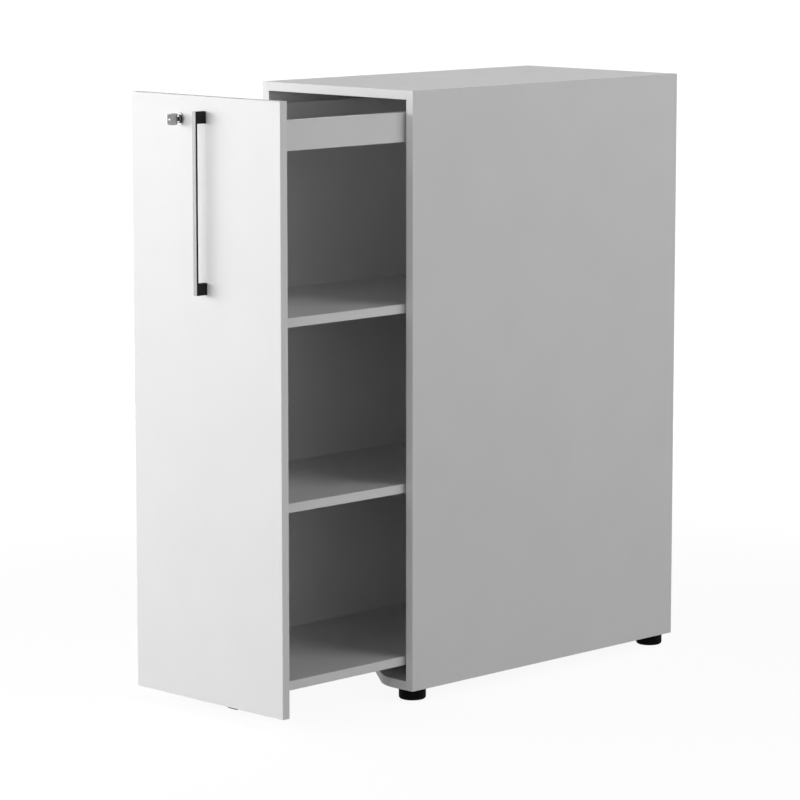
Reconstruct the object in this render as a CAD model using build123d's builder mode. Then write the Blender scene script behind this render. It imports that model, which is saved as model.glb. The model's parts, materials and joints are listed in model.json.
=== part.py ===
from build123d import *
import os
from math import hypot, sqrt

os.makedirs("parts", exist_ok=True)

# Tall locker cabinet with one full-height pull-out, drawn partly open at rest.
# Millimetres. X runs to the right seen from the front, Y from front to back, Z up from the floor.
# The origin is the middle of the whole part's footprint, on the floor.

# Boards
BOARD_T = 18.0
EDGE_R = 0.6

# Carcass
CARCASS_W = 422.0
CARCASS_D = 778.0
CARCASS_H = 1180.0

# Front panel and its reveals against the carcass
DOOR_GAP = 2.0
DOOR_SIDE_REVEAL = 2.0
DOOR_BOTTOM_REVEAL = 2.0
DOOR_TOP_REVEAL = 4.0
DOOR_EDGE_R = 1.0
BUMPER_R = 5.0
BUMPER_PLAY = 0.2
BUMPER_INSET = 60.0

# Pull-out
PULLED_OUT = 328.0
SIDE_GAP = 5.0
REAR_GAP = 25.0
PULLOUT_TOP_GAP = 24.5
LOWER_BAY_H = 326.0
MIDDLE_BAY_H = 336.0
RAIL_H = 57.0

# Levelling feet
FOOT_H = 23.0
FOOT_R = 27.0
FOOT_EDGE_R = 5.0
FOOT_RIM_R = 1.0
FOOT_INSET = 33.0
FOOT_SEAT_GAP = 0.2
STUD_R = 5.0
STUD_CHAMFER = 1.0
PAD_FLOOR = 7.8
STUD_RISE = 12.0
SOCKET_R = 7.0
SOCKET_FLANGE_R = 11.0
SOCKET_FLANGE_T = 1.5

# Castor under the front of the pull-out, and the notch that it enters
CASTOR_SETBACK = 52.0
WHEEL_R = 24.0
WHEEL_W = 20.0
WHEEL_EDGE_R = 3.0
HUB_R = 15.0
HUB_DISH = 3.0
HUB_BOSS_R = 6.0
AXLE_R = 3.0
AXLE_HEAD_R = 5.0
AXLE_HEAD_T = 1.5
FORK_T = 2.5
FORK_PLAY = 1.0
FORK_EYE_R = 9.0
CASTOR_PLATE_X = 52.0
CASTOR_PLATE_Y = 42.0
CASTOR_SCREW_EDGE = 6.0
NOTCH_CLEAR = 6.0
NOTCH_SIDE_CLEAR = 10.0
NOTCH_SHOULDER = 64.0
NOTCH_MOUTH_R = 90.0
NOTCH_FLAT_R = 18.0

# Ball runners under the bottom shelf
RUNNER_X = 75.0
RUNNER_SETBACK = 100.0
RUNNER_REAR_GAP = 60.0
RUNNER_TOP_GAP = 5.0
RUNNER_STEEL_T = 1.5
CHANNEL_H = 27.0
LIP_W = 11.0
FOOT_FLANGE_W = 14.0
TOP_FLANGE_W = 15.0
BAR_W = 3.2
ARM_H = 3.0
FLANGE_GAP = 1.0
BALL_R = 1.5
TRACK_GAP = 2.0
TRACK_PLAY = 0.08
CAGE_T = 0.8
CAGE_END_PLAY = 20.0
CAGE_HOLE_PLAY = 0.1
BALLS_PER_ROW = 6
RUNNER_SCREWS = 4
RUNNER_SCREW_INSET = 40.0

# Guide under the top panel that keeps the tall pull-out upright
GUIDE_W = 16.0
GUIDE_H = 10.0
GUIDE_WALL = 1.5
GUIDE_SETBACK = 100.0
GUIDE_REAR_GAP = 5.0
GUIDE_SCREW_INSET = 65.0
GUIDE_PLAY = 0.2
GUIDE_HEAD_GAP = 3.0
GUIDE_BASE_W = 44.0
GUIDE_BASE_T = 4.0
GUIDE_BLOCK_D = 16.0

# Handle
HANDLE_L = 350.0
HANDLE_W = 9.3
HANDLE_REACH = 27.0
HANDLE_BAR_T = 4.3
HANDLE_STRIP_T = 0.6
HANDLE_POST_H = 23.0
HANDLE_FROM_TOP = 28.0
HANDLE_SCREW_INSET = 15.0
HANDLE_SCREW_BITE = 12.0
HANDLE_EDGE_R = 0.3

# Lock and key
LOCK_X = -68.8
LOCK_FROM_TOP = 46.0
PLUG_R = 7.0
LOCK_BARREL_WALL = 2.4
LOCK_HEAD_WALL = 1.2
LOCK_HEAD_T = 4.5
LOCK_TAIL = 10.0
ROSETTE_RIM = 4.2
ROSETTE_LAND = 3.6
ROSETTE_T = 2.0
NUT_RIM = 2.6
NUT_T = 4.0
PLUG_SQUARE = 6.0
CAM_W = 12.0
CAM_T = 2.5
CAM_TAIL_R = 3.0
CAM_ENGAGE = 6.0
CAM_CLEAR = 3.0
CAM_SCREW_BITE = 8.0
STRIKE_T = 1.5
STRIKE_RIM = 3.0
STRIKE_EAR = 12.0
KEY_T = 2.2
KEY_BLADE_H = 8.0
KEY_BLADE_L = 24.0
KEY_PLAY = 0.15
KEY_NECK_L = 3.2
KEY_NECK_H = 8.8
KEY_BOW_L = 26.3
KEY_BOW_H = 23.0
KEY_BOW_END_H = 18.4
KEY_BOW_ROOT_H = 20.5
KEY_BOW_BELLY = 11.0
KEY_HOLE_R = 2.5
KEY_HOLE_INSET = 5.5
KEY_CUTS = (1.2, 2.0, 0.8, 1.6, 1.2)
KEY_CUT_W = 2.4
KEY_CUT_PITCH = 3.2
KEY_CUT_START = 5.0
KEY_TIP_L = 2.0

# Board fittings: cam discs, connector bolts, dowels and screws
CAM_DISC_R = 7.5
CAM_DISC_FLOOR = 5.5
CAM_DISC_SET = 34.0
CAM_DISC_RECESS_R = 3.5
CAM_DISC_RECESS_W = 1.6
CAM_DISC_RECESS_D = 2.5
BOLT_R = 3.0
BOLT_BITE = 11.0
DOWEL_R = 4.0
DOWEL_BITE = 10.0
DOWEL_L = 30.0
FITTING_STEP = 32.0
RAIL_FITTING_STEP = 16.0
CARCASS_FITTING_INSET = 60.0
CARCASS_FITTING_REAR_INSET = 120.0
BACK_FITTING_INSET = 250.0
SHELF_FITTING_INSET_X = 60.0
SHELF_FITTING_INSET_Y = 150.0
SCREW_R = 2.0
SCREW_HEAD_R = 3.6
SCREW_HEAD_H = 2.0
SCREW_FLOOR = 5.0
SCREW_RECESS_R = 2.0
SCREW_RECESS_W = 0.8
SCREW_RECESS_D = 1.2

# Clearances
FIT = 0.1
RUNNING_FIT = 0.05

# How deep a screw bites into a board
screw_bite = BOARD_T - SCREW_FLOOR

# Heights above the floor
carcass_low = FOOT_H
carcass_high = FOOT_H + CARCASS_H
floor_top = carcass_low + BOARD_T
ceiling = carcass_high - BOARD_T
door_low = carcass_low + DOOR_BOTTOM_REVEAL
door_high = carcass_high - DOOR_TOP_REVEAL
runner_h = CHANNEL_H + RUNNER_TOP_GAP
pull_low = floor_top + runner_h
pull_high = ceiling - PULLOUT_TOP_GAP
lower_shelf_z = pull_low + BOARD_T + LOWER_BAY_H
upper_shelf_z = lower_shelf_z + BOARD_T + MIDDLE_BAY_H
lock_z = door_high - LOCK_FROM_TOP
handle_high = door_high - HANDLE_FROM_TOP
handle_low = handle_high - HANDLE_L

# Half widths
half_w = CARCASS_W / 2
inner_half = half_w - BOARD_T
pull_half = inner_half - SIDE_GAP
pull_inner_left = BOARD_T - pull_half

# Depths: the part is centred between the key's bow and the carcass back
key_reach = LOCK_HEAD_T + KEY_NECK_L + KEY_BOW_L
front_reach = DOOR_GAP + PULLED_OUT + BOARD_T + key_reach
front = (front_reach - CARCASS_D) / 2
back = front + CARCASS_D
back_inner = back - BOARD_T
door_back = front - DOOR_GAP - PULLED_OUT
door_front = door_back - BOARD_T
pull_back = back_inner - REAR_GAP - PULLED_OUT
pull_back_inner = pull_back - BOARD_T
bay_levels = [
    (pull_low + BOARD_T + lower_shelf_z) / 2,
    (lower_shelf_z + BOARD_T + upper_shelf_z) / 2,
    (upper_shelf_z + BOARD_T + pull_high) / 2,
]

ALONG_X = (1, 0, 0)
ALONG_Y = (0, 1, 0)
ALONG_Z = (0, 0, 1)


def opposite(direction):
    """The same line, pointing the other way."""
    return tuple(-part for part in direction)


def block(low, high, mode=Mode.ADD):
    """A rectangular block between two opposite corners."""
    middle = [(a + b) / 2 for a, b in zip(low, high)]
    size = [b - a for a, b in zip(low, high)]
    with Locations(tuple(middle)):
        Box(*size, mode=mode)


def board(builder, low, high, edge_r=EDGE_R):
    """A rectangular board with eased edges."""
    block(low, high)
    fillet(builder.edges(), edge_r)


def rods(lines, start, end, radius, mode=Mode.ADD):
    """Equal round bars, one on each line, a point and a direction, from start to end along it."""
    feet_of_rods = [Plane(Vector(*point) + Vector(*along) * start, z_dir=along) for point, along in lines]
    upright = (Align.CENTER, Align.CENTER, Align.MIN)
    with Locations(*feet_of_rods):
        Cylinder(radius, end - start, align=upright, mode=mode)


def rod(point, along, start, end, radius, mode=Mode.ADD):
    """A single round bar."""
    rods([(point, along)], start, end, radius, mode)


def cross_recesses(lines, start, radius, width, depth):
    """Cross-shaped driver recesses, sunk from start along each line."""
    planes = [Plane(Vector(*point) + Vector(*along) * start, z_dir=along) for point, along in lines]
    sunk = (Align.CENTER, Align.CENTER, Align.MIN)
    with Locations(*planes):
        Box(2 * radius, width, depth, align=sunk, mode=Mode.SUBTRACT)
        Box(width, 2 * radius, depth, align=sunk, mode=Mode.SUBTRACT)


def screws(points, along, bite=screw_bite):
    """Pan-head screws: each head bears on a point and its shank runs on from there."""
    lines = [(point, along) for point in points]
    rods(lines, -SCREW_HEAD_H, 0, SCREW_HEAD_R)
    rods(lines, 0, bite, SCREW_R)
    cross_recesses(lines, -SCREW_HEAD_H, SCREW_RECESS_R, SCREW_RECESS_W, SCREW_RECESS_D)


def screw_holes(points, along, depth):
    """Holes round the shanks of screws."""
    rods([(point, along) for point in points], 0, depth, SCREW_R + FIT, Mode.SUBTRACT)


def sunk_heads(points, along, depth, gap=0.0, mode=Mode.ADD):
    """Tapered screw heads, each flush with its point and running down to the shank at the given depth."""
    planes = [Plane(point, z_dir=along) for point in points]
    upright = (Align.CENTER, Align.CENTER, Align.MIN)
    with Locations(*planes):
        Cone(SCREW_HEAD_R + gap, SCREW_R + gap, depth, align=upright, mode=mode)


def sunk_screws(points, along, head_depth, bite=screw_bite):
    """Countersunk screws, flush with the face of the plate that they hold."""
    lines = [(point, along) for point in points]
    sunk_heads(points, along, head_depth)
    rods(lines, 0, bite, SCREW_R)
    cross_recesses(lines, 0, SCREW_RECESS_R, SCREW_RECESS_W, SCREW_RECESS_D)


def cam_discs(joints, gap=0.0, mode=Mode.ADD):
    """Discs that draw butt joints tight, each let into one face of the board past the joint."""
    lines = [
        (tuple(Vector(*point) + Vector(*into) * CAM_DISC_SET), face) for point, into, face, step in joints
    ]
    outer = BOARD_T / 2
    rods(lines, CAM_DISC_FLOOR - outer - gap, outer, CAM_DISC_R + gap, mode)
    if mode == Mode.ADD:
        inward = [(point, opposite(face)) for point, face in lines]
        cross_recesses(inward, -outer, CAM_DISC_RECESS_R, CAM_DISC_RECESS_W, CAM_DISC_RECESS_D)


def connector_bolts(joints, gap=0.0, mode=Mode.ADD):
    """Bolts from the crossing board to the rims of the cam discs."""
    lines = [(point, into) for point, into, face, step in joints]
    reach = CAM_DISC_SET - CAM_DISC_R - FIT
    rods(lines, -BOLT_BITE - gap, reach + gap, BOLT_R + gap, mode)


def dowels(joints, gap=0.0, mode=Mode.ADD):
    """Wooden pins across butt joints, each one step along the joint from its cam fitting."""
    lines = [(tuple(Vector(*point) + Vector(*step)), into) for point, into, face, step in joints]
    rods(lines, -DOWEL_BITE - gap, DOWEL_L - DOWEL_BITE + gap, DOWEL_R + gap, mode)


def bore_fittings(joints):
    """Bores for every disc, bolt and dowel of these joints, where they meet the board being made."""
    cam_discs(joints, FIT, Mode.SUBTRACT)
    connector_bolts(joints, FIT, Mode.SUBTRACT)
    dowels(joints, FIT, Mode.SUBTRACT)


def save(builder, name):
    """Names the finished piece and writes it."""
    builder.part.label = name
    export_step(builder.part, f"parts/{name}.step")


# Butt joints: a point on the joint in the middle of the board's thickness, the way into that board,
# the face that takes the cam disc, and the step along the joint to the dowel.
along_step = (0, FITTING_STEP, 0)
across_step = (FITTING_STEP, 0, 0)
up_step = (0, 0, FITTING_STEP)
top_joints = []
bottom_joints = []
back_joints = []
for side in (-1, 1):
    inward = (-side, 0, 0)
    for y in (front + CARCASS_FITTING_INSET, (front + back) / 2, back - CARCASS_FITTING_REAR_INSET):
        top_joints.append(((side * inner_half, y, ceiling + BOARD_T / 2), inward, (0, 0, -1), along_step))
        bottom_joints.append(
            ((side * inner_half, y, carcass_low + BOARD_T / 2), inward, ALONG_Z, along_step)
        )
    for z in (floor_top + BACK_FITTING_INSET, ceiling - BACK_FITTING_INSET):
        back_joints.append(((side * inner_half, back - BOARD_T / 2, z), inward, (0, -1, 0), up_step))
carcass_joints = top_joints + bottom_joints + back_joints

shelf_joints = []
for shelf_z in (pull_low, lower_shelf_z, upper_shelf_z):
    middle_z = shelf_z + BOARD_T / 2
    for y in (door_back + SHELF_FITTING_INSET_Y, pull_back_inner - SHELF_FITTING_INSET_Y):
        shelf_joints.append(((pull_inner_left, y, middle_z), ALONG_X, (0, 0, -1), along_step))
    for x in (pull_inner_left + SHELF_FITTING_INSET_X, pull_half - SHELF_FITTING_INSET_X):
        shelf_joints.append(((x, door_back, middle_z), ALONG_Y, (0, 0, -1), opposite(across_step)))
        shelf_joints.append(((x, pull_back_inner, middle_z), (0, -1, 0), (0, 0, -1), opposite(across_step)))
rail_x = pull_half - BOARD_T / 2
rail_z = pull_high - RAIL_H / 2
rail_step = (0, 0, RAIL_FITTING_STEP)
rail_joints = [
    ((rail_x, door_back, rail_z), ALONG_Y, (-1, 0, 0), rail_step),
    ((rail_x, pull_back_inner, rail_z), (0, -1, 0), (-1, 0, 0), rail_step),
]
upright_joints = []
for z in bay_levels:
    upright_joints.append(((BOARD_T / 2 - pull_half, door_back, z), ALONG_Y, ALONG_X, up_step))
    upright_joints.append(((pull_inner_left, pull_back - BOARD_T / 2, z), ALONG_X, ALONG_Y, up_step))
pullout_joints = shelf_joints + rail_joints + upright_joints

# Screw places shared by the screws and by the boards that they bite into
runner_front = front + RUNNER_SETBACK
runner_l = back_inner - RUNNER_REAR_GAP - runner_front
runner_screw_pitch = (runner_l - 2 * RUNNER_SCREW_INSET) / (RUNNER_SCREWS - 1)
runner_screw_steps = [RUNNER_SCREW_INSET + n * runner_screw_pitch for n in range(RUNNER_SCREWS)]
foot_flange_x = RUNNER_X + FOOT_FLANGE_W / 2
top_flange_x = RUNNER_X - LIP_W - FLANGE_GAP - TOP_FLANGE_W / 2 - RUNNER_STEEL_T / 2
cabinet_screws_at = [
    (side * foot_flange_x, runner_front + step, floor_top + RUNNER_STEEL_T)
    for side in (-1, 1)
    for step in runner_screw_steps
]
pullout_screws_at = [
    (side * top_flange_x, runner_front - PULLED_OUT + step, pull_low - RUNNER_STEEL_T)
    for side in (-1, 1)
    for step in runner_screw_steps
]
fork_inner = WHEEL_W / 2 + FORK_PLAY
fork_outer = fork_inner + FORK_T
castor_y = door_back + CASTOR_SETBACK
castor_screw_x = CASTOR_PLATE_X / 2 - CASTOR_SCREW_EDGE
castor_screw_y = CASTOR_PLATE_Y / 2 - CASTOR_SCREW_EDGE
castor_screws_at = [
    (x, castor_y + y, pull_low - FORK_T)
    for x in (-castor_screw_x, castor_screw_x)
    for y in (-castor_screw_y, castor_screw_y)
]
guide_front = front + GUIDE_SETBACK
guide_back = back_inner - GUIDE_REAR_GAP
guide_middle = (guide_front + guide_back) / 2
guide_screws_at = [
    (0, y, ceiling - GUIDE_WALL)
    for y in (guide_front + GUIDE_SCREW_INSET, guide_middle, guide_back - GUIDE_SCREW_INSET)
]
guide_y = pull_back - BOARD_T / 2
guide_screw_x = (GUIDE_BASE_W + GUIDE_W) / 4
block_screws_at = [(side * guide_screw_x, guide_y, pull_high + GUIDE_BASE_T) for side in (-1, 1)]
handle_screws_at = [
    (0, door_back, z) for z in (handle_low + HANDLE_SCREW_INSET, handle_high - HANDLE_SCREW_INSET)
]
feet = {
    "front_left": (FOOT_INSET - half_w, front + FOOT_INSET),
    "front_right": (half_w - FOOT_INSET, front + FOOT_INSET),
    "rear_left": (FOOT_INSET - half_w, back - FOOT_INSET),
    "rear_right": (half_w - FOOT_INSET, back - FOOT_INSET),
}
socket_lines = [((x, y, carcass_low), ALONG_Z) for x, y in feet.values()]

# Lock places: the cam turns up into a mortise in the top panel when the pull-out is shut
lock_face = (LOCK_X, door_front, lock_z)
lock_head_r = PLUG_R + LOCK_HEAD_WALL
lock_barrel_r = PLUG_R + LOCK_BARREL_WALL
lock_end = BOARD_T + LOCK_TAIL
cam_start = lock_end + FIT
cam_screw_at = (LOCK_X, door_front + cam_start + CAM_T, lock_z)
cam_l = ceiling - lock_z + CAM_ENGAGE
cam_tip_r = hypot(cam_l, CAM_W / 2)
mortise_half = sqrt(cam_tip_r**2 - (ceiling - lock_z) ** 2) + CAM_CLEAR
mortise_front = door_front + PULLED_OUT + cam_start - CAM_CLEAR
mortise_back = mortise_front + CAM_T + 2 * CAM_CLEAR
mortise_top = ceiling + CAM_ENGAGE + CAM_CLEAR
strike_half = mortise_half + STRIKE_EAR
strike_screws_at = [
    (LOCK_X + side * (mortise_half + STRIKE_EAR / 2), (mortise_front + mortise_back) / 2, ceiling)
    for side in (-1, 1)
]

# Carcass boards
with BuildPart() as left_side_panel:
    board(left_side_panel, (-half_w, front, carcass_low), (-inner_half, back, carcass_high))
    bore_fittings(carcass_joints)
save(left_side_panel, "left_side_panel")

with BuildPart() as right_side_panel:
    board(right_side_panel, (inner_half, front, carcass_low), (half_w, back, carcass_high))
    bore_fittings(carcass_joints)
save(right_side_panel, "right_side_panel")

with BuildPart() as top_panel:
    board(top_panel, (-inner_half, front, ceiling), (inner_half, back, carcass_high))
    bore_fittings(top_joints)
    block(
        (LOCK_X - mortise_half, mortise_front, ceiling),
        (LOCK_X + mortise_half, mortise_back, mortise_top),
        Mode.SUBTRACT,
    )
    block(
        (LOCK_X - strike_half - FIT, mortise_front - STRIKE_RIM - FIT, ceiling),
        (LOCK_X + strike_half + FIT, mortise_back + STRIKE_RIM + FIT, ceiling + STRIKE_T),
        Mode.SUBTRACT,
    )
    screw_holes(strike_screws_at + guide_screws_at, ALONG_Z, screw_bite + FIT)
save(top_panel, "top_panel")

# The front edge of the bottom panel is cut back in the middle, where the castor comes in
notch_end = front + CASTOR_SETBACK - DOOR_GAP + WHEEL_R + NOTCH_CLEAR
notch_mouth_half = inner_half - NOTCH_SHOULDER
notch_flat_half = fork_outer + AXLE_HEAD_T + NOTCH_SIDE_CLEAR
with BuildPart() as bottom_panel:
    with BuildSketch(Plane.XY.offset(carcass_low)) as outline:
        with BuildLine():
            Polyline(
                (-inner_half, back),
                (-inner_half, front),
                (-notch_mouth_half, front),
                (-notch_flat_half, notch_end),
                (notch_flat_half, notch_end),
                (notch_mouth_half, front),
                (inner_half, front),
                (inner_half, back),
                close=True,
            )
        make_face()
        flat_corners = outline.vertices().filter_by_position(Axis.Y, notch_end - FIT, notch_end + FIT)
        fillet(flat_corners, NOTCH_FLAT_R)
        front_corners = outline.vertices().filter_by_position(Axis.Y, front - FIT, front + FIT)
        fillet(front_corners.filter_by_position(Axis.X, FIT - inner_half, inner_half - FIT), NOTCH_MOUTH_R)
    extrude(amount=BOARD_T)
    bore_fittings(bottom_joints)
    rods(socket_lines, 0, BOARD_T, SOCKET_R + FIT, Mode.SUBTRACT)
    screw_holes(cabinet_screws_at, (0, 0, -1), screw_bite + FIT)
save(bottom_panel, "bottom_panel")

with BuildPart() as back_panel:
    board(back_panel, (-inner_half, back_inner, floor_top), (inner_half, back, ceiling))
    bore_fittings(back_joints)
save(back_panel, "back_panel")

# Fittings of the carcass and of the pull-out
fitting_makers = {"cam_discs": cam_discs, "connector_bolts": connector_bolts, "dowels": dowels}
for group, joints in (("carcass", carcass_joints), ("pullout", pullout_joints)):
    for kind, make in fitting_makers.items():
        with BuildPart() as fittings:
            make(joints)
        save(fittings, f"{group}_{kind}")

# Levelling feet and the sockets that their studs turn in
with BuildPart() as foot_sockets:
    socket_h = BOARD_T + SOCKET_FLANGE_T
    rods(socket_lines, 0, BOARD_T, SOCKET_R)
    rods(socket_lines, BOARD_T, socket_h, SOCKET_FLANGE_R)
    rods(socket_lines, 0, socket_h, STUD_R + RUNNING_FIT, Mode.SUBTRACT)
save(foot_sockets, "foot_sockets")

pad_top = FOOT_H - FOOT_SEAT_GAP
stud_sunk = pad_top - PAD_FLOOR
for place, (x, y) in feet.items():
    with BuildPart() as foot_pad:
        rod((x, y, 0), ALONG_Z, 0, pad_top, FOOT_R)
        fillet(foot_pad.edges().sort_by(Axis.Z)[0], FOOT_EDGE_R)
        fillet(foot_pad.edges().sort_by(Axis.Z)[-1], FOOT_RIM_R)
        rod((x, y, pad_top), ALONG_Z, -stud_sunk, 0, STUD_R, Mode.SUBTRACT)
    save(foot_pad, f"{place}_foot_pad")

    with BuildPart() as foot_stud:
        rod((x, y, pad_top), ALONG_Z, -stud_sunk, FOOT_SEAT_GAP + BOARD_T + STUD_RISE, STUD_R)
        chamfer(foot_stud.edges().sort_by(Axis.Z)[-1], STUD_CHAMFER)
    save(foot_stud, f"{place}_foot_stud")

# Pull-out boards
with BuildPart() as front_panel:
    door_half = half_w - DOOR_SIDE_REVEAL
    board(front_panel, (-door_half, door_front, door_low), (door_half, door_back, door_high), DOOR_EDGE_R)
    bore_fittings(pullout_joints)
    rod(lock_face, ALONG_Y, 0, BOARD_T, lock_barrel_r + FIT, Mode.SUBTRACT)
    screw_holes(handle_screws_at, (0, -1, 0), BOARD_T)
save(front_panel, "front_panel")

with BuildPart() as pullout_side_panel:
    board(pullout_side_panel, (-pull_half, door_back, pull_low), (pull_inner_left, pull_back, pull_high))
    bore_fittings(shelf_joints + upright_joints)
save(pullout_side_panel, "pullout_side_panel")

with BuildPart() as pullout_back_panel:
    board(
        pullout_back_panel, (pull_inner_left, pull_back_inner, pull_low), (pull_half, pull_back, pull_high)
    )
    bore_fittings(pullout_joints)
    screw_holes(block_screws_at, (0, 0, -1), GUIDE_BASE_T + screw_bite + FIT)
save(pullout_back_panel, "pullout_back_panel")

shelves = {"bottom_shelf": pull_low, "lower_shelf": lower_shelf_z, "upper_shelf": upper_shelf_z}
for name, z in shelves.items():
    with BuildPart() as shelf:
        board(shelf, (pull_inner_left, door_back, z), (pull_half, pull_back_inner, z + BOARD_T))
        bore_fittings(shelf_joints)
        screw_holes(pullout_screws_at + castor_screws_at, ALONG_Z, screw_bite + FIT)
    save(shelf, name)

with BuildPart() as top_rail:
    board(
        top_rail,
        (pull_half - BOARD_T, door_back, pull_high - RAIL_H),
        (pull_half, pull_back_inner, pull_high),
    )
    bore_fittings(rail_joints)
save(top_rail, "top_rail")

with BuildPart() as bump_pads:
    bumper_lines = [
        ((x, door_back, z), ALONG_Y)
        for x in (BOARD_T / 2 - half_w, half_w - BOARD_T / 2)
        for z in (door_low + BUMPER_INSET, door_high - BUMPER_INSET)
    ]
    rods(bumper_lines, 0, DOOR_GAP - BUMPER_PLAY, BUMPER_R)
save(bump_pads, "bump_pads")

# Handle: a black bow with a bright strip along its face, screwed on from behind the front panel
handle_half = HANDLE_W / 2
handle_face = door_front - HANDLE_REACH
bow_face = handle_face + HANDLE_STRIP_T
with BuildPart() as handle_bow:
    block((-handle_half, bow_face, handle_low), (handle_half, door_front, handle_high))
    block(
        (-handle_half, bow_face + HANDLE_BAR_T, handle_low + HANDLE_POST_H),
        (handle_half, door_front, handle_high - HANDLE_POST_H),
        Mode.SUBTRACT,
    )
    fillet(handle_bow.edges().filter_by(Axis.Z), HANDLE_EDGE_R)
    screw_holes(handle_screws_at, (0, -1, 0), BOARD_T + HANDLE_SCREW_BITE + FIT)
save(handle_bow, "handle_bow")

with BuildPart() as handle_strip:
    block((-handle_half, handle_face, handle_low), (handle_half, bow_face, handle_high))
    fillet(handle_strip.faces().sort_by(Axis.Y)[0].edges(), HANDLE_EDGE_R)
save(handle_strip, "handle_strip")

with BuildPart() as handle_screws:
    screws(handle_screws_at, (0, -1, 0), BOARD_T + HANDLE_SCREW_BITE)
save(handle_screws, "handle_screws")

# Runner sections, drawn for the right-hand runner with their width towards the cabinet's middle
middle_low = RUNNER_STEEL_T + TRACK_GAP
middle_high = CHANNEL_H - middle_low
bar_low = middle_low + RUNNER_STEEL_T + TRACK_GAP
bar_high = CHANNEL_H - bar_low
flange_start = LIP_W + FLANGE_GAP
outer_balls = [
    ((middle_low + LIP_W) / 2, RUNNER_STEEL_T + TRACK_GAP / 2),
    ((middle_low + LIP_W) / 2, CHANNEL_H - RUNNER_STEEL_T - TRACK_GAP / 2),
]
inner_balls = [
    (bar_low + BAR_W / 2, bar_low - TRACK_GAP / 2),
    (bar_low + BAR_W / 2, bar_high + TRACK_GAP / 2),
]
travel = runner_l
cage_l = runner_l - travel / 2 - 2 * CAGE_END_PLAY
cage_start = travel / 4 + CAGE_END_PLAY
cage_pitch = cage_l / BALLS_PER_ROW


def runner_plane(y):
    """The section plane of the right-hand runner, seen from the front."""
    return Plane((RUNNER_X, y, floor_top), x_dir=(-1, 0, 0), z_dir=(0, 1, 0))


def strip(low, high, mode=Mode.ADD):
    """A rectangle of a runner section between two opposite corners."""
    with Locations(((low[0] + high[0]) / 2, (low[1] + high[1]) / 2)):
        Rectangle(high[0] - low[0], high[1] - low[1], mode=mode)


def channel(start, low, high, thickness):
    """A channel section, open towards the cabinet's middle."""
    strip((start, low), (start + thickness, high))
    strip((start, low), (LIP_W, low + thickness))
    strip((start, high - thickness), (LIP_W, high))


def tracks(centres):
    """Grooves that the ball rows run in."""
    with Locations(*centres):
        Circle(BALL_R + TRACK_PLAY, mode=Mode.SUBTRACT)


def ball_cage(y, centres, start):
    """A cage strip bent round one stage of a runner, with its two rows of balls."""
    plane = runner_plane(y)
    low = centres[0][1] - CAGE_T / 2
    high = centres[1][1] + CAGE_T / 2
    reach = centres[0][0] + BALL_R + CAGE_T
    with BuildSketch(plane) as section:
        strip((start, low), (start + CAGE_T, high))
        strip((start, low), (reach, low + CAGE_T))
        strip((start, high - CAGE_T), (reach, high))
    extrude(section.sketch, amount=cage_l)
    balls = [
        tuple(plane.from_local_coords((u, v, (n + 0.5) * cage_pitch)))
        for u, v in centres
        for n in range(BALLS_PER_ROW)
    ]
    ball_lines = [(centre, ALONG_Z) for centre in balls]
    rods(ball_lines, -CAGE_T, CAGE_T, BALL_R + CAGE_HOLE_PLAY, Mode.SUBTRACT)
    with Locations(*balls):
        Sphere(BALL_R)


with BuildPart() as cabinet_member:
    with BuildSketch(runner_plane(runner_front)):
        channel(0, 0, CHANNEL_H, RUNNER_STEEL_T)
        strip((-FOOT_FLANGE_W, 0), (0, RUNNER_STEEL_T))
        tracks(outer_balls)
    extrude(amount=runner_l)
    screw_holes(cabinet_screws_at, (0, 0, -1), RUNNER_STEEL_T)

with BuildPart() as middle_member:
    with BuildSketch(runner_plane(runner_front - PULLED_OUT / 2)):
        channel(middle_low, middle_low, middle_high, RUNNER_STEEL_T)
        tracks(outer_balls + inner_balls)
    extrude(amount=runner_l)

with BuildPart() as pullout_member:
    with BuildSketch(runner_plane(runner_front - PULLED_OUT)):
        strip((bar_low, bar_low), (bar_low + BAR_W, bar_high))
        tracks(inner_balls)
        strip(
            (bar_low + BAR_W, (CHANNEL_H - ARM_H) / 2),
            (flange_start, (CHANNEL_H + ARM_H) / 2),
        )
        strip((flange_start, (CHANNEL_H - ARM_H) / 2), (flange_start + RUNNER_STEEL_T, runner_h))
        strip(
            (flange_start, runner_h - RUNNER_STEEL_T),
            (flange_start + RUNNER_STEEL_T + TOP_FLANGE_W, runner_h),
        )
    extrude(amount=runner_l)
    screw_holes(pullout_screws_at, ALONG_Z, RUNNER_STEEL_T)

with BuildPart() as outer_cage:
    cage_web = RUNNER_STEEL_T + (TRACK_GAP - CAGE_T) / 2
    ball_cage(runner_front + cage_start - PULLED_OUT / 4, outer_balls, cage_web)

with BuildPart() as inner_cage:
    cage_web = middle_low + RUNNER_STEEL_T + (TRACK_GAP - CAGE_T) / 2
    ball_cage(runner_front + cage_start - PULLED_OUT * 3 / 4, inner_balls, cage_web)

runner_pieces = {
    "runner_cabinet_member": cabinet_member,
    "runner_middle_member": middle_member,
    "runner_pullout_member": pullout_member,
    "runner_outer_ball_cage": outer_cage,
    "runner_inner_ball_cage": inner_cage,
}
for name, piece in runner_pieces.items():
    save(piece, f"right_{name}")
    with BuildPart() as left_piece:
        mirror(piece.part, about=Plane.YZ)
    save(left_piece, f"left_{name}")

# Equal screws: runners, guide channel and strike on the carcass, runners and castor on the pull-out
with BuildPart() as carcass_screws:
    screws(cabinet_screws_at, (0, 0, -1))
    screws(guide_screws_at, ALONG_Z)
    sunk_screws(strike_screws_at, ALONG_Z, STRIKE_T)
save(carcass_screws, "carcass_screws")

with BuildPart() as pullout_screws:
    screws(pullout_screws_at + castor_screws_at, ALONG_Z)
save(pullout_screws, "pullout_screws")

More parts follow.
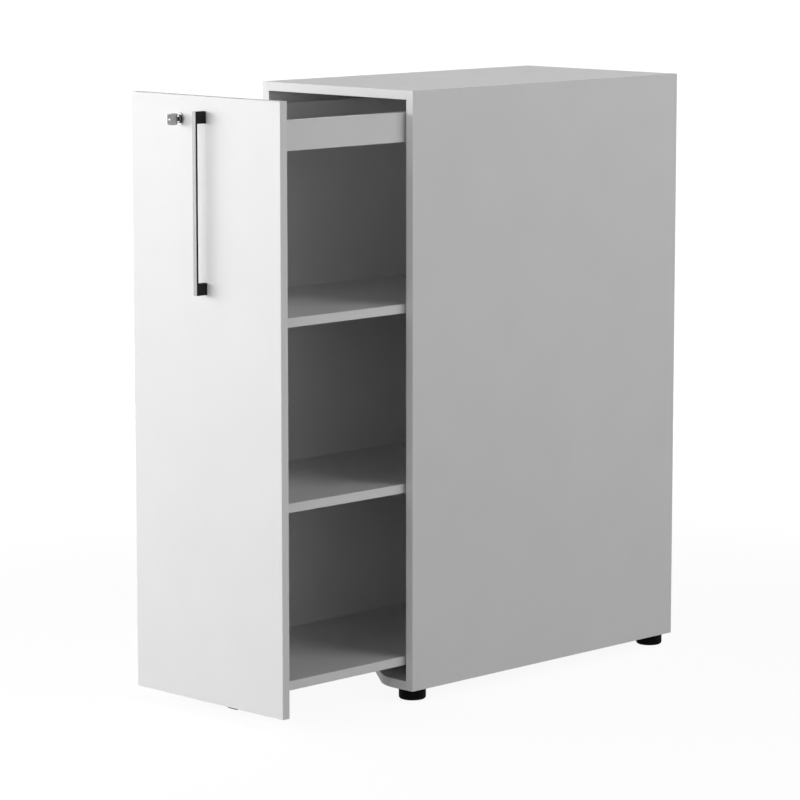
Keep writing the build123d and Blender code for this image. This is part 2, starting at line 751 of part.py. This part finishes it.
# Fixed castor: a fork on a plate, an axle, and a wheel of hub and tyre
axle = (0, castor_y, WHEEL_R)
with BuildPart() as castor_fork:
    block(
        (-CASTOR_PLATE_X / 2, castor_y - CASTOR_PLATE_Y / 2, pull_low - FORK_T),
        (CASTOR_PLATE_X / 2, castor_y + CASTOR_PLATE_Y / 2, pull_low),
    )
    for x in (-fork_outer, fork_inner):
        with BuildSketch(Plane((x, castor_y, 0), x_dir=ALONG_Y, z_dir=ALONG_X)):
            with Locations((0, WHEEL_R)):
                Circle(FORK_EYE_R)
            with Locations((0, pull_low - FORK_T / 2)):
                Rectangle(CASTOR_PLATE_Y, FORK_T)
            make_hull()
        extrude(amount=FORK_T)
    rod(axle, ALONG_X, -fork_outer, fork_outer, AXLE_R + FIT, Mode.SUBTRACT)
    screw_holes(castor_screws_at, ALONG_Z, FORK_T)
save(castor_fork, "castor_fork")

with BuildPart() as castor_axle:
    rod(axle, ALONG_X, -fork_outer - AXLE_HEAD_T, fork_outer + AXLE_HEAD_T, AXLE_R)
    for way in (ALONG_X, opposite(ALONG_X)):
        rod(axle, way, fork_outer, fork_outer + AXLE_HEAD_T, AXLE_HEAD_R)
save(castor_axle, "castor_axle")

with BuildPart() as castor_hub:
    rod(axle, ALONG_X, -WHEEL_W / 2, WHEEL_W / 2, HUB_R)
    for way in (ALONG_X, opposite(ALONG_X)):
        rod(axle, way, WHEEL_W / 2 - HUB_DISH, WHEEL_W / 2, HUB_R - HUB_DISH, Mode.SUBTRACT)
        rod(axle, way, WHEEL_W / 2 - HUB_DISH, WHEEL_W / 2, HUB_BOSS_R)
    rod(axle, ALONG_X, -WHEEL_W / 2, WHEEL_W / 2, AXLE_R + RUNNING_FIT, Mode.SUBTRACT)
save(castor_hub, "castor_hub")

with BuildPart() as castor_tyre:
    rod(axle, ALONG_X, -WHEEL_W / 2, WHEEL_W / 2, WHEEL_R)
    fillet(castor_tyre.edges().filter_by(GeomType.CIRCLE), WHEEL_EDGE_R)
    rod(axle, ALONG_X, -WHEEL_W / 2, WHEEL_W / 2, HUB_R, Mode.SUBTRACT)
save(castor_tyre, "castor_tyre")

# Guide channel under the top panel, and the nylon block that runs in it
tongue_half = GUIDE_W / 2 - GUIDE_WALL - GUIDE_PLAY
with BuildPart() as guide_channel:
    block((-GUIDE_W / 2, guide_front, ceiling - GUIDE_H), (GUIDE_W / 2, guide_back, ceiling))
    block(
        (GUIDE_WALL - GUIDE_W / 2, guide_front, ceiling - GUIDE_H),
        (GUIDE_W / 2 - GUIDE_WALL, guide_back, ceiling - GUIDE_WALL),
        Mode.SUBTRACT,
    )
    screw_holes(guide_screws_at, ALONG_Z, GUIDE_WALL)
save(guide_channel, "guide_channel")

with BuildPart() as guide_block:
    base_top = pull_high + GUIDE_BASE_T
    tongue_top = ceiling - GUIDE_WALL - GUIDE_HEAD_GAP
    block(
        (-GUIDE_BASE_W / 2, guide_y - GUIDE_BLOCK_D / 2, pull_high),
        (GUIDE_BASE_W / 2, guide_y + GUIDE_BLOCK_D / 2, base_top),
    )
    block(
        (-tongue_half, guide_y - GUIDE_BLOCK_D / 2, base_top),
        (tongue_half, guide_y + GUIDE_BLOCK_D / 2, tongue_top),
    )
    screw_holes(block_screws_at, (0, 0, -1), GUIDE_BASE_T)
save(guide_block, "guide_block")

with BuildPart() as guide_block_screws:
    screws(block_screws_at, (0, 0, -1), GUIDE_BASE_T + screw_bite)
save(guide_block_screws, "guide_block_screws")

# Lock: housing and rosette in the front panel, turning plug with cam, key, and strike in the top panel
with BuildPart() as lock_housing:
    rod(lock_face, ALONG_Y, -LOCK_HEAD_T, 0, lock_head_r)
    rod(lock_face, ALONG_Y, 0, lock_end, lock_barrel_r)
    rod(lock_face, ALONG_Y, -LOCK_HEAD_T, lock_end, PLUG_R + RUNNING_FIT, Mode.SUBTRACT)
save(lock_housing, "lock_housing")

with BuildPart() as lock_rosette:
    upright = (Align.CENTER, Align.CENTER, Align.MIN)
    rosette_bore_r = lock_head_r + FIT
    with Locations(Plane(lock_face, z_dir=(0, -1, 0))):
        Cone(rosette_bore_r + ROSETTE_RIM, rosette_bore_r + ROSETTE_LAND, ROSETTE_T, align=upright)
    rod(lock_face, ALONG_Y, -ROSETTE_T, 0, rosette_bore_r, Mode.SUBTRACT)
save(lock_rosette, "lock_rosette")

with BuildPart() as lock_nut:
    with BuildSketch(Plane((LOCK_X, door_back, lock_z), x_dir=ALONG_X, z_dir=ALONG_Y)):
        RegularPolygon(lock_barrel_r + NUT_RIM, 6, major_radius=False)
        Circle(lock_barrel_r + FIT, mode=Mode.SUBTRACT)
    extrude(amount=NUT_T)
save(lock_nut, "lock_nut")

with BuildPart() as lock_plug:
    square_half = PLUG_SQUARE / 2
    slot_x = KEY_T / 2 + KEY_PLAY
    slot_z = KEY_BLADE_H / 2 + KEY_PLAY
    rod(lock_face, ALONG_Y, -LOCK_HEAD_T, lock_end, PLUG_R)
    block(
        (LOCK_X - square_half, door_front + lock_end, lock_z - square_half),
        (LOCK_X + square_half, door_front + cam_start + CAM_T, lock_z + square_half),
    )
    block(
        (LOCK_X - slot_x, door_front - LOCK_HEAD_T, lock_z - slot_z),
        (LOCK_X + slot_x, door_front - LOCK_HEAD_T + KEY_BLADE_L + KEY_PLAY, lock_z + slot_z),
        Mode.SUBTRACT,
    )
    screw_holes([cam_screw_at], (0, -1, 0), CAM_SCREW_BITE + FIT)
save(lock_plug, "lock_plug")

with BuildPart() as lock_cam:
    with BuildSketch(Plane((LOCK_X, door_front + cam_start, lock_z), x_dir=(-1, 0, 0), z_dir=ALONG_Y)):
        with Locations(((cam_l - CAM_W / 2) / 2, 0)):
            Rectangle(cam_l + CAM_W / 2, CAM_W)
        Rectangle(PLUG_SQUARE + 2 * FIT, PLUG_SQUARE + 2 * FIT, mode=Mode.SUBTRACT)
    extrude(amount=CAM_T)
    fillet(lock_cam.edges().filter_by(Axis.Y).group_by(Axis.X)[-1], CAM_TAIL_R)
save(lock_cam, "lock_cam")

with BuildPart() as lock_cam_screw:
    screws([cam_screw_at], (0, -1, 0), CAM_SCREW_BITE)
save(lock_cam_screw, "lock_cam_screw")

with BuildPart() as strike_plate:
    block(
        (LOCK_X - strike_half, mortise_front - STRIKE_RIM, ceiling),
        (LOCK_X + strike_half, mortise_back + STRIKE_RIM, ceiling + STRIKE_T),
    )
    block(
        (LOCK_X - mortise_half, mortise_front, ceiling),
        (LOCK_X + mortise_half, mortise_back, ceiling + STRIKE_T),
        Mode.SUBTRACT,
    )
    sunk_heads(strike_screws_at, ALONG_Z, STRIKE_T, FIT, Mode.SUBTRACT)
save(strike_plate, "strike_plate")

# The key stands in the plug with its bow upright
key_plane = Plane((LOCK_X - KEY_T / 2, 0, lock_z), x_dir=ALONG_Y, z_dir=ALONG_X)
blade_start = door_front - LOCK_HEAD_T
blade_end = blade_start + KEY_BLADE_L
blade_half = KEY_BLADE_H / 2
shoulder = blade_start - KEY_PLAY
neck_start = blade_start - KEY_NECK_L
bow_end = neck_start - KEY_BOW_L
belly = neck_start - KEY_BOW_BELLY
bow = [
    (neck_start, KEY_BOW_ROOT_H / 2),
    (belly, KEY_BOW_H / 2),
    (bow_end, KEY_BOW_END_H / 2),
    (bow_end, -KEY_BOW_END_H / 2),
    (belly, -KEY_BOW_H / 2),
    (neck_start, -KEY_BOW_ROOT_H / 2),
]
neck = [
    (neck_start, -KEY_NECK_H / 2),
    (shoulder, -KEY_NECK_H / 2),
    (shoulder, KEY_NECK_H / 2),
    (neck_start, KEY_NECK_H / 2),
]
blade = [(shoulder, blade_half), (shoulder, -blade_half)]
for n, depth in enumerate(KEY_CUTS):
    cut = blade_start + KEY_CUT_START + n * KEY_CUT_PITCH
    blade.append((cut - KEY_CUT_W / 2, -blade_half))
    blade.append((cut, depth - blade_half))
    blade.append((cut + KEY_CUT_W / 2, -blade_half))
blade += [
    (blade_end - KEY_TIP_L, -blade_half),
    (blade_end, KEY_TIP_L - blade_half),
    (blade_end, blade_half - KEY_TIP_L),
    (blade_end - KEY_TIP_L, blade_half),
]
with BuildPart() as key:
    with BuildSketch(key_plane):
        for outline in (bow, neck, blade):
            with BuildLine():
                Polyline(*outline, close=True)
            make_face()
        with Locations((bow_end + KEY_HOLE_INSET, 0)):
            Circle(KEY_HOLE_R, mode=Mode.SUBTRACT)
    extrude(amount=KEY_T)
save(key, "key")
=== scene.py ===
import json
import math

import bpy
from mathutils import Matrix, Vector


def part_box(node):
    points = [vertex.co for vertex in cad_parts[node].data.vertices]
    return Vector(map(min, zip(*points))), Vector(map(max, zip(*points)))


# Locker cabinet with a full-height pull-out: finishes, floor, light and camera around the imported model.
# Metres. X runs to the right seen from the front, Y from front to back, Z up from the floor.

# Camera at the photograph's viewing angle
CAMERA_PLACE = (5.1047, -5.1507, 1.6513)
CAMERA_AZIMUTH = 44.859
CAMERA_ELEVATION = 8.559
CAMERA_LENS = 163.12

# Softboxes: the azimuth and elevation at which each is seen from the panel it faces, its size and its watts.
# The key light stands at the front left, and weaker lights at the front, on the right and behind.
LAMP_DISTANCE = 4.0
LAMPS = {
    "key_light": (-38.0, 14.0, (4.6, 1.6), 116.0),
    "front_light": (10.0, 10.0, (3.0, 1.6), 35.0),
    "fill_light": (112.0, 30.0, (3.0, 3.0), 45.0),
    "back_light": (225.0, 25.0, (3.0, 2.0), 13.0),
}

# Light from all round, which fades from the horizon up to a height, given as the sine of its angle
AROUND_LEVEL = 1.18
OVERHEAD_LEVEL = 0.0
OVERHEAD_FROM = 0.45

# Times that matt surfaces pass light on, few enough for bays as dark as the photograph's
LIGHT_BOUNCES = 2

# Floor: its half width, its drop below the feet, the strength of the shadow seen on it, the distances from
# the middle between which that shadow fades out, the white that is seen, and the grey that lights the part
FLOOR_HALF = 80.0
FLOOR_DROP = 0.0005
FLOOR_SHADOW = 0.15
FLOOR_FADE = (1.0, 3.5)
FLOOR_WHITE = 1.08
FLOOR_BOUNCE = 0.3

# Noise: the span of its values that tones and gloss are spread over, and its detail in patches and textures
NOISE_SPAN = (0.3, 0.7)
PATCH_DETAIL = 2.0
FINE_DETAIL = 3.0

# White board: darkest and lightest tone of its faces, tone of its edge bands, span of its roughness,
# width of its patches and of its pearl texture, and depth of its relief
BOARD_IOR = 1.53
BOARD_FACE = ((0.845, 0.845, 0.845), (0.865, 0.865, 0.865))
BOARD_EDGE = (0.87, 0.87, 0.875)
BOARD_ROUGH = (0.40, 0.50)
BOARD_PATCH = 0.12
BOARD_PEARL = 0.0009
BOARD_RELIEF = 0.00002

# Key: nickel plate in its own tones over this share of its visible length from the end of its bow, then
# darkened by painted shade to near black at the lock
KEY_UNSHADED_SHARE = 0.70
KEY_PLATE_TONES = ((0.42, 0.42, 0.42), (0.52, 0.52, 0.52))
# Near-black colour of the painted shade at the lock
KEY_PAINTED_SHADE = (0.03, 0.03, 0.03)
KEY_ROUGH = (0.28, 0.44)
KEY_PATCH = 0.005
KEY_SCRATCH = 0.0005
KEY_SCRATCH_STRETCH = (1, 4, 1)
KEY_RELIEF = 0.00001

# The other finishes, by material slot, as surface() takes them
FINISHES = {
    "fitting_zinc": dict(
        dark=(0.56, 0.57, 0.58), light=(0.66, 0.67, 0.69), rough=(0.25, 0.42),
        patch=0.01, fine=0.0008, depth=0.00002, Metallic=1.0,
    ),
    "beech": dict(
        dark=(0.60, 0.43, 0.26), light=(0.76, 0.59, 0.39), rough=(0.5, 0.7),
        patch=0.004, fine=0.0008, depth=0.00006, stretch=(6, 1, 1),
    ),
    "runner_zinc": dict(
        dark=(0.58, 0.60, 0.62), light=(0.70, 0.71, 0.72), rough=(0.22, 0.40),
        patch=0.02, fine=0.001, depth=0.00002, stretch=(1, 12, 1), Metallic=1.0,
    ),
    "channel_aluminium": dict(
        dark=(0.66, 0.67, 0.68), light=(0.76, 0.77, 0.78), rough=(0.28, 0.42),
        patch=0.01, fine=0.0006, depth=0.00001, stretch=(1, 40, 1), Metallic=1.0,
    ),
    "nylon": dict(
        dark=(0.80, 0.80, 0.75), light=(0.88, 0.88, 0.84), rough=(0.40, 0.55),
        patch=0.01, fine=0.0008, depth=0.00003,
    ),
    "bumper_clear": dict(
        dark=(0.74, 0.74, 0.74), light=(0.82, 0.82, 0.82), rough=(0.20, 0.32),
        patch=0.004, fine=0.0006, depth=0.00002,
    ),
    "foot_black": dict(
        dark=(0.002, 0.002, 0.002), light=(0.005, 0.005, 0.005), rough=(0.60, 0.75),
        patch=0.01, fine=0.0007, depth=0.00004, Specular_IOR_Level=0.05,
    ),
    "castor_black": dict(
        dark=(0.03, 0.03, 0.03), light=(0.05, 0.05, 0.052), rough=(0.32, 0.48),
        patch=0.01, fine=0.0008, depth=0.00003,
    ),
    "castor_rubber": dict(
        dark=(0.36, 0.36, 0.36), light=(0.44, 0.44, 0.44), rough=(0.60, 0.80),
        patch=0.008, fine=0.0009, depth=0.00006,
    ),
    "handle_black": dict(
        dark=(0.006, 0.006, 0.006), light=(0.010, 0.010, 0.010), rough=(0.42, 0.55),
        patch=0.02, fine=0.0008, depth=0.00003, Specular_IOR_Level=0.20,
    ),
    "handle_silver": dict(
        dark=(0.30, 0.30, 0.305), light=(0.36, 0.36, 0.365), rough=(0.48, 0.60),
        patch=0.003, fine=0.0004, depth=0.00001, stretch=(1, 1, 80), Metallic=0.6,
    ),
    "lock_nickel": dict(
        dark=(0.34, 0.34, 0.34), light=(0.40, 0.40, 0.405), rough=(0.32, 0.44),
        patch=0.004, fine=0.0005, depth=0.00001, Metallic=1.0,
    ),
    "lock_black": dict(
        dark=(0.020, 0.020, 0.021), light=(0.035, 0.035, 0.036), rough=(0.40, 0.55),
        patch=0.004, fine=0.0005, depth=0.00001, Specular_IOR_Level=0.25,
    ),
}

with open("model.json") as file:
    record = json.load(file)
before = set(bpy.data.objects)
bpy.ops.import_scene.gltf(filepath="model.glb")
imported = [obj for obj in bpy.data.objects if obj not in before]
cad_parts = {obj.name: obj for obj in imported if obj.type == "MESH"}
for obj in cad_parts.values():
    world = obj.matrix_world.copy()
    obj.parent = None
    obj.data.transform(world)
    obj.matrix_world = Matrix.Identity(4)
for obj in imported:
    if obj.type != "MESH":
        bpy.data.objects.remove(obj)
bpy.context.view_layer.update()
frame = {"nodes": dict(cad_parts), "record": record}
nodes = frame["nodes"]
slot_of = {part["node"]: part["material_slot"] for part in frame["record"]["subparts"]}


# Node helpers
def new_material(name, **values):
    """A material whose main shader has these constant values, underscores standing for spaces."""
    material = bpy.data.materials.new(name)
    material.use_nodes = True
    shader = material.node_tree.nodes["Principled BSDF"]
    for socket, value in values.items():
        shader.inputs[socket.replace("_", " ")].default_value = value
    return material, material.node_tree, shader


def coordinates(tree, kind):
    """The shaded point's coordinates of one kind, such as Object."""
    return tree.nodes.new("ShaderNodeTexCoord").outputs[kind]


def grain(tree, size, stretch=(1, 1, 1), detail=PATCH_DETAIL):
    """A noise value, its features about size metres across and drawn out by stretch along each axis."""
    scale = tree.nodes.new("ShaderNodeMapping")
    noise = tree.nodes.new("ShaderNodeTexNoise")
    scale.inputs["Scale"].default_value = [1 / (size * part) for part in stretch]
    noise.inputs["Scale"].default_value = 1.0
    noise.inputs["Detail"].default_value = detail
    tree.links.new(coordinates(tree, "Object"), scale.inputs["Vector"])
    tree.links.new(scale.outputs["Vector"], noise.inputs["Vector"])
    return noise.outputs["Fac"]


def remap(tree, value, start, end, low=0.0, high=1.0, smooth=False):
    """Low up to start and high from end on, with an even or a smooth passage between."""
    passage = tree.nodes.new("ShaderNodeMapRange")
    passage.interpolation_type = "SMOOTHSTEP" if smooth else "LINEAR"
    passage.inputs["From Min"].default_value = start
    passage.inputs["From Max"].default_value = end
    passage.inputs["To Min"].default_value = low
    passage.inputs["To Max"].default_value = high
    tree.links.new(value, passage.inputs["Value"])
    return passage.outputs["Result"]


def tones(tree, value, dark, light):
    """A noise value as a colour between dark and light."""
    ramp = tree.nodes.new("ShaderNodeValToRGB")
    first, last = ramp.color_ramp.elements
    first.position, last.position = NOISE_SPAN
    first.color, last.color = (*dark, 1), (*light, 1)
    tree.links.new(value, ramp.inputs["Fac"])
    return ramp.outputs["Color"]


def blend(tree, share, first, second):
    """A colour between two others, each given as a colour or as the socket that makes it."""
    mix = tree.nodes.new("ShaderNodeMix")
    mix.data_type = "RGBA"
    tree.links.new(share, mix.inputs["Factor"])
    for identifier, colour in (("A_Color", first), ("B_Color", second)):
        socket = next(s for s in mix.inputs if s.identifier == identifier)
        if isinstance(colour, bpy.types.NodeSocket):
            tree.links.new(colour, socket)
        else:
            socket.default_value = (*colour, 1)
    return next(s for s in mix.outputs if s.identifier == "Result_Color")


def mix_shaders(tree, share, first, second):
    """A shader that goes from first to second as share goes from 0 to 1."""
    mix = tree.nodes.new("ShaderNodeMixShader")
    tree.links.new(share, mix.inputs["Fac"])
    tree.links.new(first, mix.inputs[1])
    tree.links.new(second, mix.inputs[2])
    return mix.outputs["Shader"]


def dress(tree, shader, colour, texture, rough, depth):
    """Gives the shader a colour, and a fine texture that sets its gloss and raises it by depth at most."""
    bump = tree.nodes.new("ShaderNodeBump")
    bump.inputs["Distance"].default_value = depth
    tree.links.new(colour, shader.inputs["Base Color"])
    tree.links.new(remap(tree, texture, *NOISE_SPAN, *rough), shader.inputs["Roughness"])
    tree.links.new(texture, bump.inputs["Height"])
    tree.links.new(bump.outputs["Normal"], shader.inputs["Normal"])


# Finishes
def surface(name, dark, light, rough, patch, fine, depth, stretch=(1, 1, 1), **values):
    """A finish whose tone drifts in patches, with a fine texture in its gloss and its relief."""
    material, tree, shader = new_material(name, **values)
    colour = tones(tree, grain(tree, patch, stretch), dark, light)
    dress(tree, shader, colour, grain(tree, fine, stretch, FINE_DETAIL), rough, depth)
    return material


def melamine(name, thin_axis):
    """White board with a fine pearl texture, and slightly lighter bands on its narrow edges."""
    material, tree, shader = new_material(name, IOR=BOARD_IOR)
    facing = tree.nodes.new("ShaderNodeVectorMath")
    facing.operation = "DOT_PRODUCT"
    facing.inputs[1].default_value = thin_axis
    on_face = tree.nodes.new("ShaderNodeMath")
    on_face.operation = "ABSOLUTE"
    tree.links.new(coordinates(tree, "Normal"), facing.inputs[0])
    tree.links.new(facing.outputs["Value"], on_face.inputs[0])
    face_tone = tones(tree, grain(tree, BOARD_PATCH), *BOARD_FACE)
    colour = blend(tree, on_face.outputs["Value"], BOARD_EDGE, face_tone)
    dress(tree, shader, colour, grain(tree, BOARD_PEARL, detail=FINE_DETAIL), BOARD_ROUGH, BOARD_RELIEF)
    return material


def key_metal_with_painted_shade():
    """Nickel plate, with painted shade that darkens it from part way along the key to near black at the lock.
    """
    material, tree, shader = new_material("key_nickel", Metallic=1.0)
    bow_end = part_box("key")[0].y
    lock_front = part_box("lock_housing")[0].y
    painted_shade_from = bow_end + KEY_UNSHADED_SHARE * (lock_front - bow_end)
    axes = tree.nodes.new("ShaderNodeSeparateXYZ")
    tree.links.new(coordinates(tree, "Object"), axes.inputs["Vector"])
    # Painted shade: the colour goes smoothly to near black from part way along the key to the lock's front
    painted_shade = remap(tree, axes.outputs["Y"], painted_shade_from, lock_front, smooth=True)
    colour = blend(tree, painted_shade, tones(tree, grain(tree, KEY_PATCH), *KEY_PLATE_TONES), KEY_PAINTED_SHADE)
    scratches = grain(tree, KEY_SCRATCH, KEY_SCRATCH_STRETCH, FINE_DETAIL)
    dress(tree, shader, colour, scratches, KEY_ROUGH, KEY_RELIEF)
    return material


finishes = {name: surface(name, **values) for name, values in FINISHES.items()}
# The key's finish carries painted shade towards the lock
finishes["key_nickel"] = key_metal_with_painted_shade()
boards = [
    melamine("white_board_x", (1, 0, 0)),
    melamine("white_board_y", (0, 1, 0)),
    melamine("white_board_z", (0, 0, 1)),
]


def board_finish(node):
    """The melamine that knows which way this board is thin."""
    low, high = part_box(node)
    size = high - low
    return boards[min(range(3), key=lambda axis: size[axis])]


for name, node in nodes.items():
    slot = slot_of[name]
    node.material_slots[0].material = board_finish(name) if slot == "white_board" else finishes[slot]


# Floor, light and camera
def add_object(name, data):
    """A new object of this data in the scene."""
    holder = bpy.data.objects.new(name, data)
    bpy.context.scene.collection.objects.link(holder)
    return holder


def seen_directly(tree):
    """A value of 1 for rays from the camera, and for those that gloss or glass sends on."""
    path = tree.nodes.new("ShaderNodeLightPath")
    seen = path.outputs["Is Camera Ray"]
    for sent_on in ("Is Glossy Ray", "Is Transmission Ray"):
        either = tree.nodes.new("ShaderNodeMath")
        either.operation = "MAXIMUM"
        tree.links.new(seen, either.inputs[0])
        tree.links.new(path.outputs[sent_on], either.inputs[1])
        seen = either.outputs["Value"]
    return seen


def floor_material():
    """White to look at, with a faint shadow, and a plain grey floor to the light."""
    material = bpy.data.materials.new("floor")
    material.use_nodes = True
    tree = material.node_tree
    tree.nodes.clear()
    output = tree.nodes.new("ShaderNodeOutputMaterial")
    plain = tree.nodes.new("ShaderNodeBsdfDiffuse")
    plain.inputs["Color"].default_value = (FLOOR_BOUNCE, FLOOR_BOUNCE, FLOOR_BOUNCE, 1)
    shaded = tree.nodes.new("ShaderNodeBsdfDiffuse")
    shaded.inputs["Color"].default_value = (1, 1, 1, 1)
    white = tree.nodes.new("ShaderNodeEmission")
    white.inputs["Strength"].default_value = FLOOR_WHITE
    reach = tree.nodes.new("ShaderNodeVectorMath")
    reach.operation = "LENGTH"
    tree.links.new(coordinates(tree, "Object"), reach.inputs[0])
    shadow = remap(tree, reach.outputs["Value"], *FLOOR_FADE, FLOOR_SHADOW, 0.0, smooth=True)
    seen = mix_shaders(tree, shadow, white.outputs["Emission"], shaded.outputs["BSDF"])
    chosen = mix_shaders(tree, seen_directly(tree), plain.outputs["BSDF"], seen)
    tree.links.new(chosen, output.inputs["Surface"])
    return material


def add_floor():
    """A wide level floor under the feet."""
    mesh = bpy.data.meshes.new("floor")
    corners = [(-1, -1), (1, -1), (1, 1), (-1, 1)]
    mesh.from_pydata([(FLOOR_HALF * x, FLOOR_HALF * y, -FLOOR_DROP) for x, y in corners], [], [(0, 1, 2, 3)])
    mesh.materials.append(floor_material())
    floor = add_object("floor", mesh)


def add_world():
    """A soft light from all round, dimmer overhead, and seen as plain white."""
    world = bpy.data.worlds.new("studio")
    bpy.context.scene.world = world
    world.use_nodes = True
    tree = world.node_tree
    tree.nodes.clear()
    output = tree.nodes.new("ShaderNodeOutputWorld")
    axes = tree.nodes.new("ShaderNodeSeparateXYZ")
    around = tree.nodes.new("ShaderNodeBackground")
    white = tree.nodes.new("ShaderNodeBackground")
    for background in (around, white):
        background.inputs["Color"].default_value = (1, 1, 1, 1)
    tree.links.new(coordinates(tree, "Generated"), axes.inputs["Vector"])
    level = remap(tree, axes.outputs["Z"], 0.0, OVERHEAD_FROM, AROUND_LEVEL, OVERHEAD_LEVEL)
    tree.links.new(level, around.inputs["Strength"])
    chosen = mix_shaders(tree, seen_directly(tree), around.outputs["Background"], white.outputs["Background"])
    tree.links.new(chosen, output.inputs["Surface"])


def direction(azimuth, elevation):
    """The way to a place seen at this azimuth and elevation; azimuth 0 is straight in front."""
    a, e = math.radians(azimuth), math.radians(elevation)
    return Vector((math.sin(a) * math.cos(e), -math.cos(a) * math.cos(e), math.sin(e)))


def add_softbox(name, faced_box, azimuth, elevation, size, watts):
    """A rectangular lamp that faces the middle of a box from this azimuth and elevation."""
    low, high = faced_box
    to_lamp = direction(azimuth, elevation)
    lamp = bpy.data.lights.new(name, "AREA")
    lamp.shape = "RECTANGLE"
    lamp.size, lamp.size_y = size
    lamp.energy = watts
    holder = add_object(name, lamp)
    holder.location = (low + high) / 2 + LAMP_DISTANCE * to_lamp
    holder.rotation_euler = (-to_lamp).to_track_quat("-Z", "Y").to_euler()


def add_camera():
    """A level-horizon camera, looking where the photograph looks."""
    lens = bpy.data.cameras.new("camera")
    lens.lens = CAMERA_LENS
    holder = add_object("camera", lens)
    holder.location = CAMERA_PLACE
    holder.rotation_euler = (math.radians(90 - CAMERA_ELEVATION), 0, math.radians(CAMERA_AZIMUTH))
    bpy.context.scene.camera = holder


add_floor()
add_world()
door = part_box("front_panel")
right_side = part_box("right_side_panel")
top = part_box("top_panel")
faced = {"key_light": door, "front_light": door, "fill_light": right_side, "back_light": top}
for name, values in LAMPS.items():
    add_softbox(name, faced[name], *values)
add_camera()
bpy.context.scene.cycles.diffuse_bounces = LIGHT_BOUNCES
bpy.context.scene.view_settings.view_transform = "Standard"
